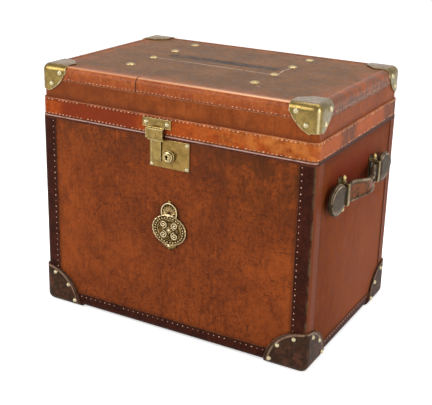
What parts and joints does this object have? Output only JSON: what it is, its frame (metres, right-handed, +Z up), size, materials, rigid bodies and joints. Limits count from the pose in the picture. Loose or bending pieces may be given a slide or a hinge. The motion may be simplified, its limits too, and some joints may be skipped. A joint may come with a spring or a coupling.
{
  "type": "leather trunk",
  "caption": "Upright leather-covered wooden trunk with a hinged lid, brass corners, a hasp over a sliding-knob lock, leather base caps and strap handles on both ends.",
  "frame": {"origin": "on the ground under the middle of the trunk", "axes": "+X towards the right end, -Y out of the front face with the lock, +Z up"},
  "size_m": [0.5426, 0.3516, 0.4124],
  "materials": {
    "box_boards": "planed deal boards, hidden under the hide",
    "lip_wood": "oiled hardwood strip",
    "lining_cloth": "glued cotton ticking lining",
    "binding_hide": "dark worn bridle hide, stitched",
    "cap_hide": "thick moulded hide, dark and scuffed",
    "panel_hide": "polished tan hide with stains and scratches",
    "top_hide": "worn greyish brown hide",
    "lid_side_hide": "polished tan hide",
    "band_hide": "orange tan hide, stitched along its edges",
    "handle_hide": "dark layered strap hide, rubbed",
    "old_brass": "aged lacquer-free brass, rubbed bright on its edges",
    "pin_steel": "drawn steel wire",
    "spring_steel": "blued spring strip"
  },
  "bodies": {
    "body": {"back_board": "box_boards", "back_leather": "panel_hide", "base_binding": "binding_hide", "base_board": "box_boards", "base_cap_back_left": "cap_hide", "base_cap_back_right": "cap_hide", "base_cap_front_left": "cap_hide", "base_cap_front_right": "cap_hide", "base_leather": "panel_hide", "body_lining": "lining_cloth", "cap_nails": "old_brass", "corner_binding_back_left": "binding_hide", "corner_binding_back_right": "binding_hide", "corner_binding_front_left": "binding_hide", "corner_binding_front_right": "binding_hide", "front_board": "box_boards", "front_leather": "panel_hide", "front_ornament": "old_brass", "hinge_body_leaves": "old_brass", "hinge_pins": "pin_steel", "keeper_loops": "old_brass", "keeper_pins": "old_brass", "keeper_plates": "old_brass", "left_board": "box_boards", "left_leather": "panel_hide", "lock_case": "old_brass", "lock_nails": "old_brass", "lock_plate": "old_brass", "lock_spring": "spring_steel", "right_board": "box_boards", "right_leather": "panel_hide", "rim_binding": "binding_hide", "rim_lip": "lip_wood"},
    "lid": {"corner_rivets": "old_brass", "hasp_pin": "pin_steel", "hasp_plate": "old_brass", "hasp_screws": "old_brass", "hinge_lid_leaves": "old_brass", "lid_back_board": "box_boards", "lid_corner_back_left": "old_brass", "lid_corner_back_right": "old_brass", "lid_corner_front_left": "old_brass", "lid_corner_front_right": "old_brass", "lid_front_board": "box_boards", "lid_left_board": "box_boards", "lid_lining": "lining_cloth", "lid_right_board": "box_boards", "lid_side_leather": "lid_side_hide", "lid_top_board": "box_boards", "lid_top_leather": "top_hide", "lid_top_rivets": "old_brass", "rim_band": "band_hide", "top_edge_binding": "band_hide"},
    "hasp": {"hasp": "old_brass"},
    "knob": {"lock_knob": "old_brass", "lock_bolt": "old_brass"},
    "handle_right": {"handle_right": "handle_hide"},
    "handle_left": {"handle_left": "handle_hide"}
  },
  "joints": [
    {"name": "lid_hinge", "type": "hinge", "parent": "body", "child": "lid", "pos_m": [0, 0.1712, 0.33015], "axis": [-1, 0, 0], "range_deg": [0, 100]},
    {"name": "hasp_hinge", "type": "hinge", "parent": "lid", "child": "hasp", "pos_m": [-0.021, -0.1694, 0.3408], "axis": [-1, 0, 0], "range_deg": [0, 100]},
    {"name": "knob_slide", "type": "slide", "parent": "body", "child": "knob", "axis": [1, 0, 0], "range_m": [0, 0.007], "stiffness_N_per_m": 300, "springref_m": -0.004, "deforming": ["lock_spring"]},
    {"name": "right_handle_shift", "type": "slide", "parent": "body", "child": "handle_right", "axis": [0, 1, 0], "range_m": [-0.004, 0.004]},
    {"name": "left_handle_shift", "type": "slide", "parent": "body", "child": "handle_left", "axis": [0, 1, 0], "range_m": [-0.004, 0.004]}
  ]
}
